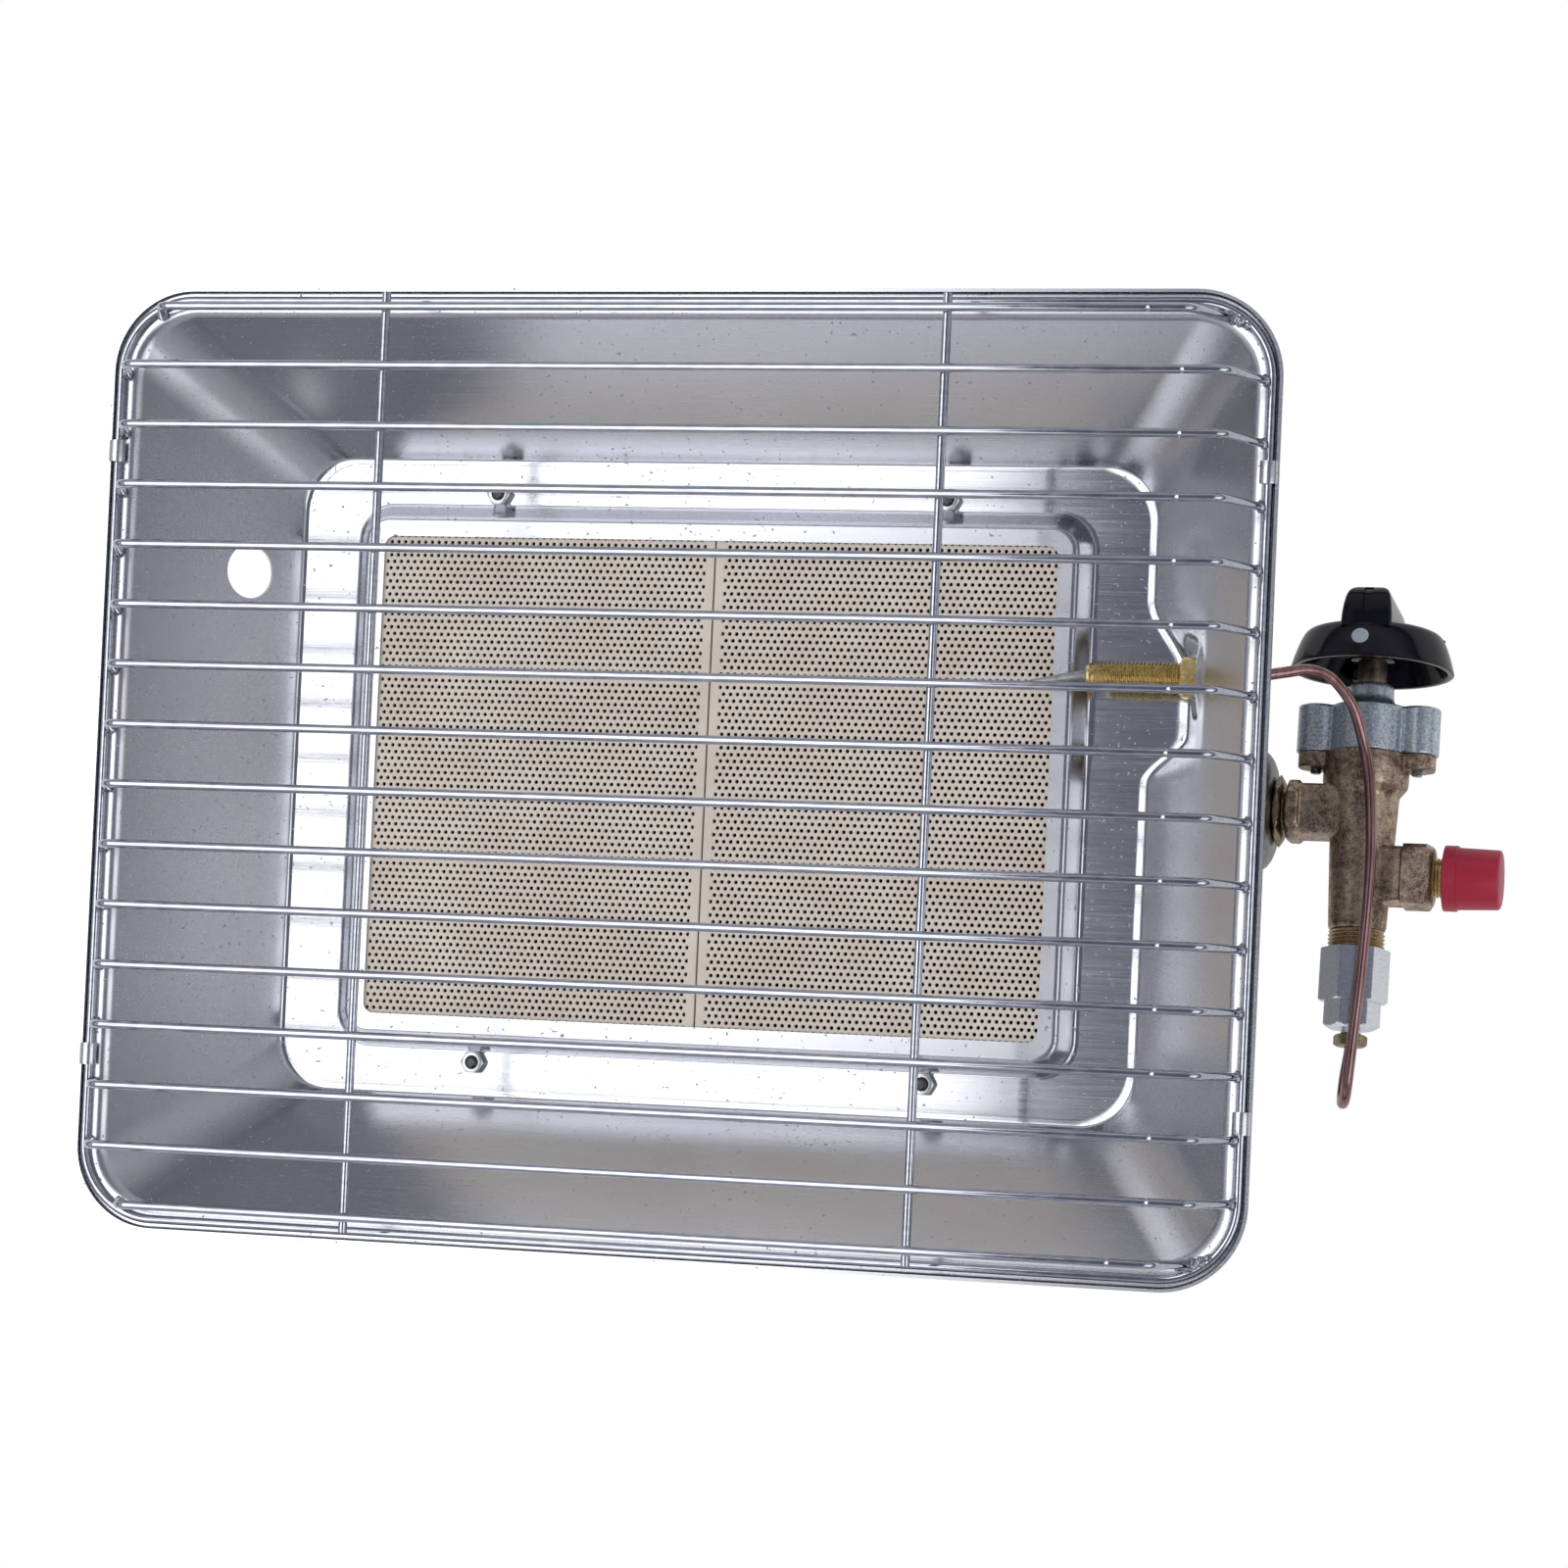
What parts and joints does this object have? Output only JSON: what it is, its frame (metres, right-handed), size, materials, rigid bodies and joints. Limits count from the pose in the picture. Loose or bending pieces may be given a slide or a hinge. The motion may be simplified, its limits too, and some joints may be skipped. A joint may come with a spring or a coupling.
{
  "type": "portable propane heater",
  "caption": "Infrared gas heater head: ceramic burner plates in a pressed reflector tray under a wire guard, with a push-and-turn gas valve, flame sensor lead and capped gas inlet.",
  "frame": {"origin": "middle of the whole part's footprint, on the plane of the burner box's flat back", "axes": "+X along the longer side of the tray toward the valve and gas inlet, +Y toward the knob's side, +Z out of the burner window toward the guard"},
  "size_m": [0.3526, 0.2412, 0.1126],
  "materials": {
    "tray": "satin",
    "box_steel": "satin",
    "seal": "matt fibre",
    "ceramic": "matt porous ceramic",
    "plated_steel": "zinc plated",
    "chrome_wire": "bright",
    "brass": "turned",
    "brass_body": "hot pressed, darkened",
    "spindle_brass": "turned",
    "zinc_casting": "die cast",
    "knob_black": "gloss",
    "dot_pale": "satin",
    "copper": "drawn, darkened",
    "probe_steel": "heat darkened",
    "cap_red": "satin"
  },
  "bodies": {
    "heater": {"tray": "tray", "burner_box": "box_steel", "plate_seal": "seal", "plate_left": "ceramic", "plate_right": "ceramic", "frame_screws": "plated_steel", "frame_nuts": "plated_steel", "mixing_tube": "plated_steel", "tube_cap": "plated_steel", "jet_holder": "brass", "lock_nut": "brass", "guard_hoop": "chrome_wire", "guard_bars": "chrome_wire", "guard_end_bars": "chrome_wire", "guard_ties": "chrome_wire", "valve_body": "brass_body", "valve_cover": "zinc_casting", "cover_screws": "plated_steel", "magnet_unit": "plated_steel", "lead_nut": "brass", "copper_lead": "copper", "sensor_bushing": "brass", "sensor_nuts": "brass", "sensor_probe": "probe_steel", "inlet_union": "brass_body"},
    "plug": {"taper_plug": "brass"},
    "knob": {"spindle": "spindle_brass", "knob": "knob_black", "knob_dot": "dot_pale"},
    "cap": {"dust_cap": "cap_red"}
  },
  "joints": [
    {"name": "knob_turn", "type": "hinge", "parent": "heater", "child": "plug", "pos_m": [0.1409, -0.001, 0.027], "axis": [0, 0.9914, -0.1305], "range_deg": [0, 90]},
    {"name": "knob_push", "type": "slide", "parent": "plug", "child": "knob", "axis": [0, -0.9914, 0.1305], "range_m": [0, 0.004], "stiffness_N_per_m": 800},
    {"name": "cap_pull", "type": "slide", "parent": "heater", "child": "cap", "axis": [1, 0, 0], "range_m": [0, 0.06]}
  ]
}
